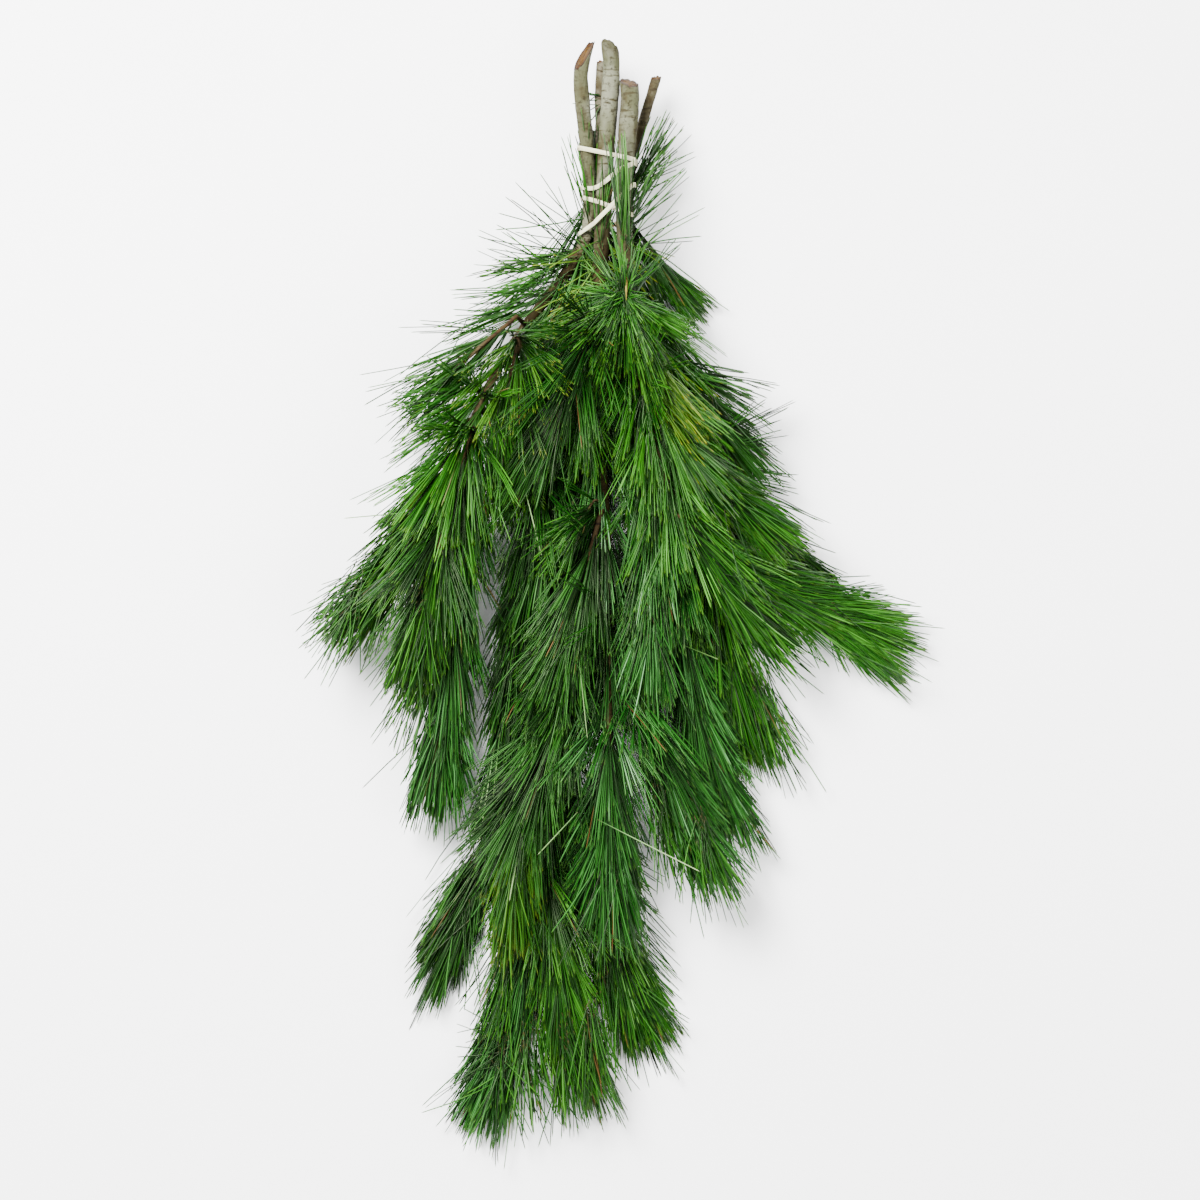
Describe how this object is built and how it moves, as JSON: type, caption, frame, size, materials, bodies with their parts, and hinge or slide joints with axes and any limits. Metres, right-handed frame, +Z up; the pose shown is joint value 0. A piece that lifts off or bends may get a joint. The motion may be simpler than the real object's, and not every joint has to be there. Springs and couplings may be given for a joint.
{
  "type": "bundle of pine boughs",
  "caption": "Cut pine boughs with long soft needles, tied at the bare stems with a thin band; the bunch lies flat and fans out away from the cut ends.",
  "frame": {"origin": "on the surface that the bundle lies on, under the middle of its bounding box", "axes": "+Y along the stems towards the cut ends, +X to the right seen from above with the cut ends away from the viewer, +Z up from the surface"},
  "size_m": [0.4526, 0.7996, 0.1098],
  "materials": {
    "bark": "matte, grey-green bark with scars",
    "twig": "matte, brown bark",
    "needles_green": "fresh needles, slightly glossy, mid green",
    "needles_dark": "needles in the depth of the bunch, dark green",
    "needles_yellow_green": "young needles, yellow-green",
    "rubber": "satin, cream"
  },
  "bodies": {
    "root": {"bough_1_needles_a": "needles_green", "bough_1_needles_b": "needles_green", "bough_1_needles_c": "needles_yellow_green", "bough_1_needles_d": "needles_green", "bough_1_needles_e": "needles_yellow_green", "bough_1_needles_tip": "needles_green", "bough_1_stem": "bark", "bough_1_twig_a": "twig", "bough_1_twig_b": "twig", "bough_1_twig_c": "twig", "bough_2_needles_a": "needles_yellow_green", "bough_2_needles_b": "needles_green", "bough_2_needles_c": "needles_green", "bough_2_needles_d": "needles_green", "bough_2_needles_e": "needles_dark", "bough_2_needles_f": "needles_green", "bough_2_needles_tip": "needles_green", "bough_2_stem": "bark", "bough_2_twig_a": "twig", "bough_2_twig_b": "twig", "bough_2_twig_c": "twig", "bough_2_twig_e": "twig", "bough_3_needles_a": "needles_green", "bough_3_needles_b": "needles_green", "bough_3_needles_c": "needles_dark", "bough_3_needles_tip": "needles_green", "bough_3_stem": "bark", "bough_3_twig_a": "twig", "bough_3_twig_b": "twig", "bough_3_twig_c": "twig", "bough_4_needles_a": "needles_green", "bough_4_needles_b": "needles_green", "bough_4_needles_c": "needles_yellow_green", "bough_4_needles_neck": "needles_green", "bough_4_needles_starburst": "needles_green", "bough_4_needles_tip": "needles_green", "bough_4_stem": "bark", "bough_4_twig_b": "twig", "bough_4_twig_starburst": "twig", "bough_5_needles_a": "needles_dark", "bough_5_needles_b": "needles_dark", "bough_5_needles_c": "needles_dark", "bough_5_needles_d": "needles_green", "bough_5_needles_e": "needles_green", "bough_5_needles_f": "needles_green", "bough_5_needles_tip": "needles_green", "bough_5_stem": "bark", "bough_5_twig_a": "twig", "bough_5_twig_b": "twig", "bough_5_twig_c": "twig", "bough_5_twig_f": "twig", "bough_6_needles_a": "needles_dark", "bough_6_needles_tip": "needles_dark", "bough_6_stem": "bark", "bough_6_twig_a": "twig", "rubber_band": "rubber"}
  },
  "joints": []
}
